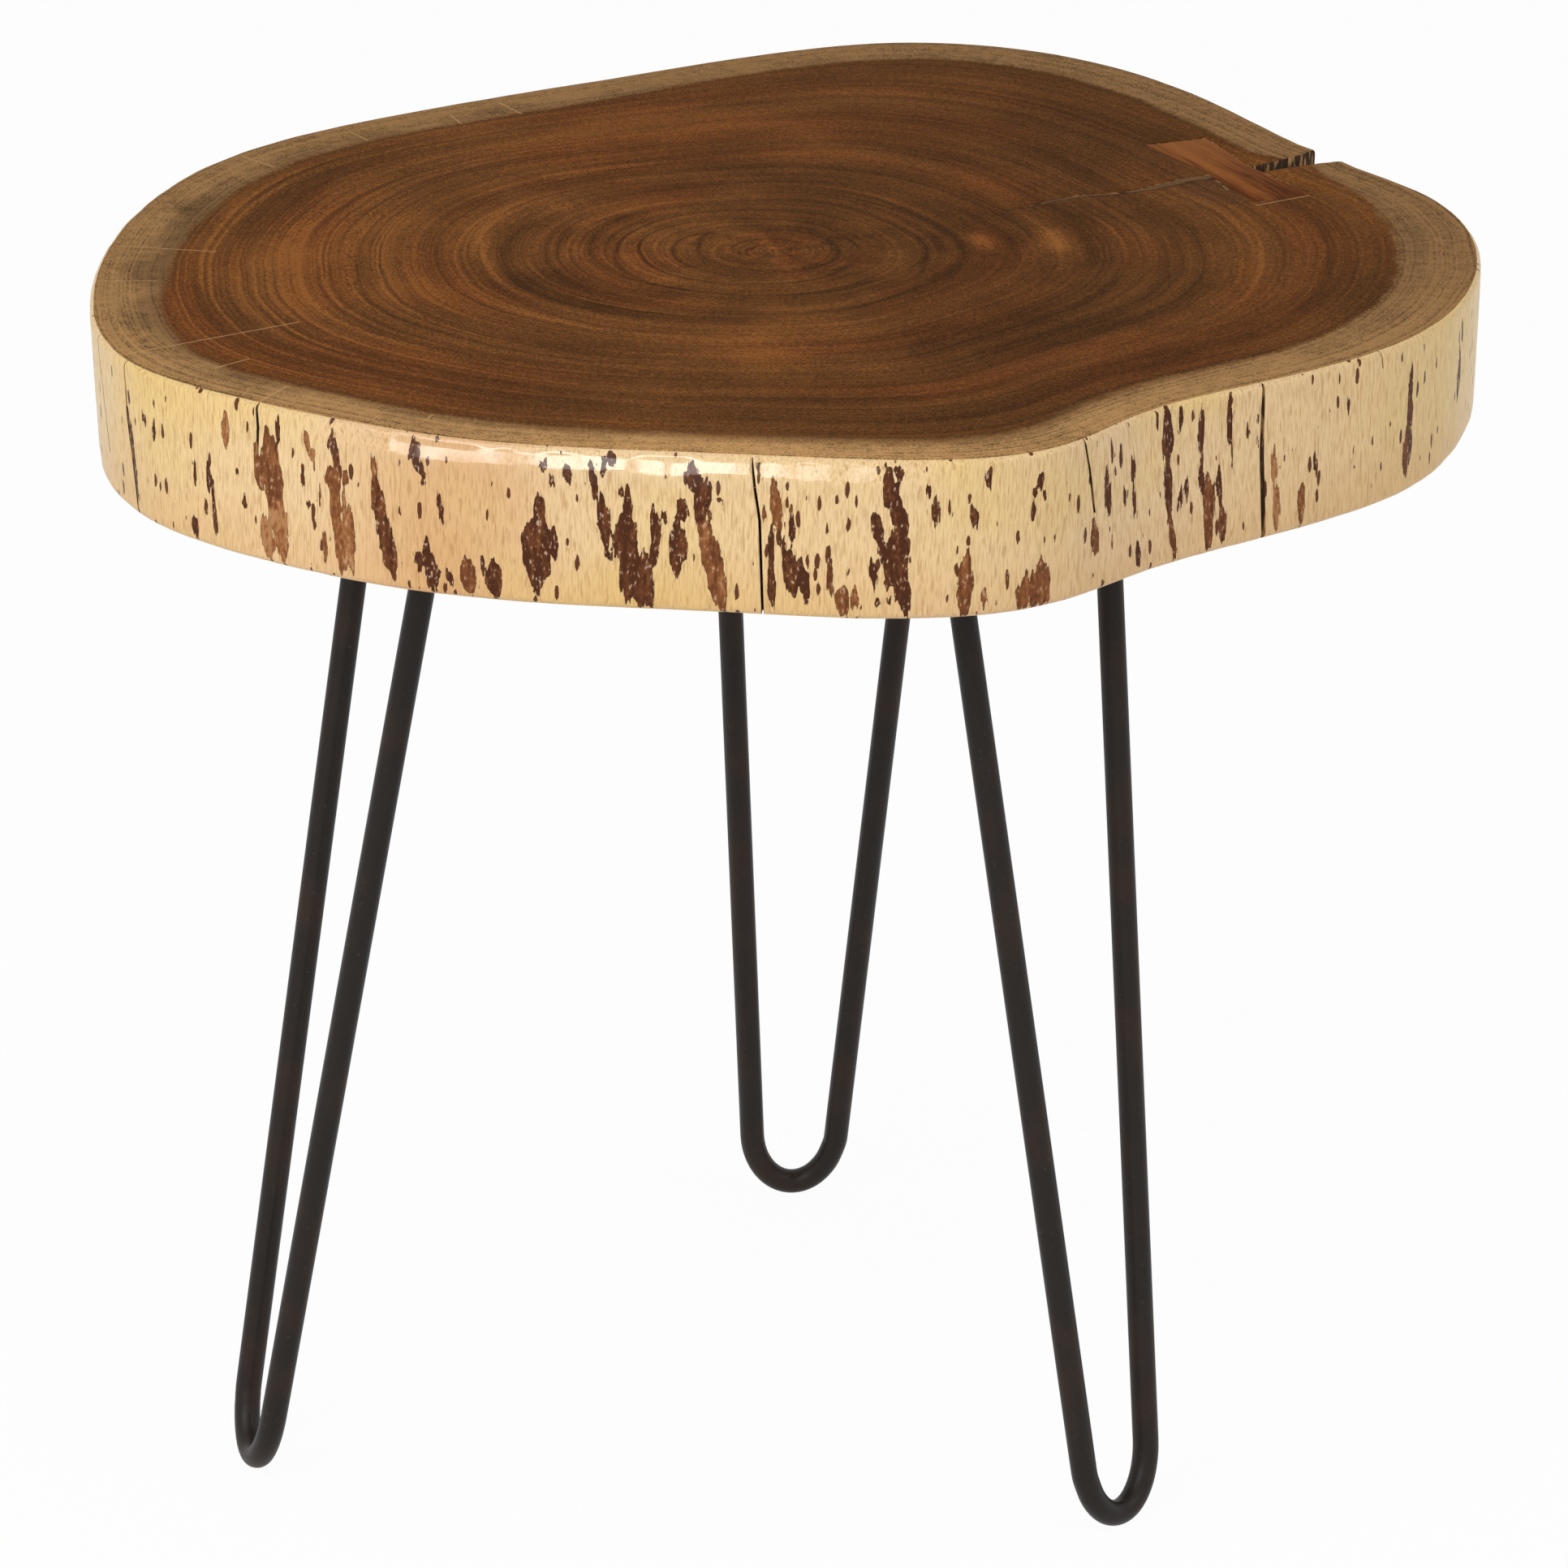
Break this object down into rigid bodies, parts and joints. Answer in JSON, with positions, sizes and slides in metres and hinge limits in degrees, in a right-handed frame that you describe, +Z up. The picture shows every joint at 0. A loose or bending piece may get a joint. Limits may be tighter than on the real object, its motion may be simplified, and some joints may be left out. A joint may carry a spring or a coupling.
{
  "type": "live edge log side table",
  "caption": "Free-standing side table: a live edge log slice with an inlaid butterfly key and a filled radial check, carried on bent-bar hairpin legs screwed to its underside.",
  "frame": {"origin": "on the floor, under the middle of the slab's box", "axes": "+Z up; -Y is the front seen in the picture; +X to the right in that view"},
  "size_m": [0.5149, 0.5538, 0.474],
  "materials": {
    "log": "clear gloss varnish; dark heartwood, tan sapwood ring, cream bark face with brown bark flecks",
    "key": "clear satin varnish, reddish brown long grain",
    "filler": "grey-brown wood filler under varnish",
    "rod": "satin black-brown paint with slight mottling",
    "weld": "painted weld bead",
    "screw": "zinc plated"
  },
  "bodies": {
    "root": {"log_slab": "log", "butterfly_key": "key", "crack_filler": "filler", "left_hairpin": "rod", "left_plate": "rod", "left_welds": "weld", "left_screws": "screw", "back_hairpin": "rod", "back_plate": "rod", "back_welds": "weld", "back_screws": "screw", "right_hairpin": "rod", "right_plate": "rod", "right_welds": "weld", "right_screws": "screw"}
  },
  "joints": []
}
